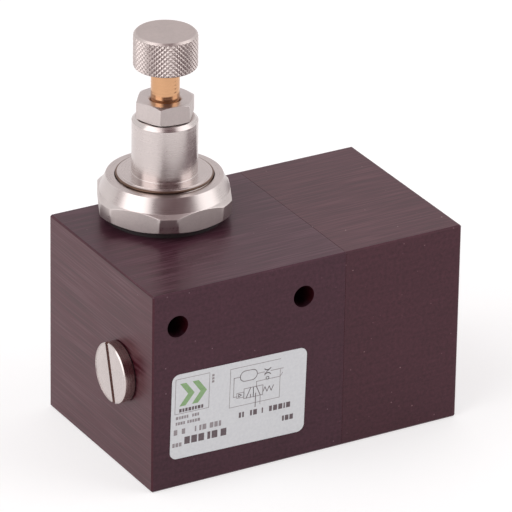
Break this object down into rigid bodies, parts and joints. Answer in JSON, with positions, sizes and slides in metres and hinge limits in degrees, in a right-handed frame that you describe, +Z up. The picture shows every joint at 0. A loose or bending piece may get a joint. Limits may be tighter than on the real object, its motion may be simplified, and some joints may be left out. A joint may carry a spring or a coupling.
{
  "type": "pneumatic time delay valve with adjustable flow control",
  "caption": "Two-block pneumatic timer valve: needle flow control with knurled knob, lock nut and panel nut, air reservoir and spring-return spool, side bolting holes.",
  "frame": {"origin": "centre of the bottom face of the two joined blocks", "axes": "+X along the blocks from the end plug to the reservoir end, +Y from the label face to the back, +Z up along the adjusting needle"},
  "size_m": [0.068, 0.0436, 0.0766],
  "materials": {
    "black_anodised": "black anodised, fine brushed grain",
    "nickel_plate": "satin nickel plate",
    "brass": "turned, lightly oiled",
    "zinc_screw": "zinc plated",
    "spring_steel": "drawn wire",
    "spool_alloy": "ground and hard coated",
    "seal_rubber": "matt nitrile",
    "label_film": "printed satin film"
  },
  "bodies": {
    "housing": {"valve_block": "black_anodised", "reservoir_block": "black_anodised", "seam_oring": "seal_rubber", "tie_screws": "zinc_screw", "end_plug": "nickel_plate", "end_plug_washer": "seal_rubber", "return_spring": "spring_steel", "bonnet": "nickel_plate", "bonnet_oring": "seal_rubber", "needle_seat": "brass", "check_lip_seal": "seal_rubber", "panel_washer": "seal_rubber", "panel_nut": "nickel_plate", "rating_label": "label_film"},
    "spool": {"spool": "spool_alloy", "spool_orings": "seal_rubber", "pilot_piston": "spool_alloy", "piston_oring": "seal_rubber"},
    "needle": {"needle": "spring_steel", "needle_oring": "seal_rubber"},
    "knob": {"spindle": "brass", "adjusting_knob": "nickel_plate"},
    "lock_nut": {"lock_nut": "nickel_plate"}
  },
  "joints": [
    {"name": "knob_turn", "type": "hinge", "parent": "needle", "child": "knob", "pos_m": [-0.0134, 0.0109, 0], "axis": [0, 0, 1], "range_deg": [-2160, 720]},
    {"name": "needle_travel", "type": "slide", "parent": "housing", "child": "needle", "axis": [0, 0, 1], "range_m": [-0.0045, 0.0015]},
    {"name": "lock_nut_turn", "type": "hinge", "parent": "housing", "child": "lock_nut", "pos_m": [-0.0134, 0.0109, 0], "axis": [0, 0, 1], "range_deg": [0, 180]},
    {"name": "spool_travel", "type": "slide", "parent": "housing", "child": "spool", "axis": [1, 0, 0], "range_m": [-0.0032, 0], "stiffness_N_per_m": 4000, "springref_m": 0.002, "deforming": ["return_spring"]}
  ],
  "couplings": [
    {"joint": "knob_turn", "follows": "needle_travel", "rad_per_m": 8377.6}
  ]
}
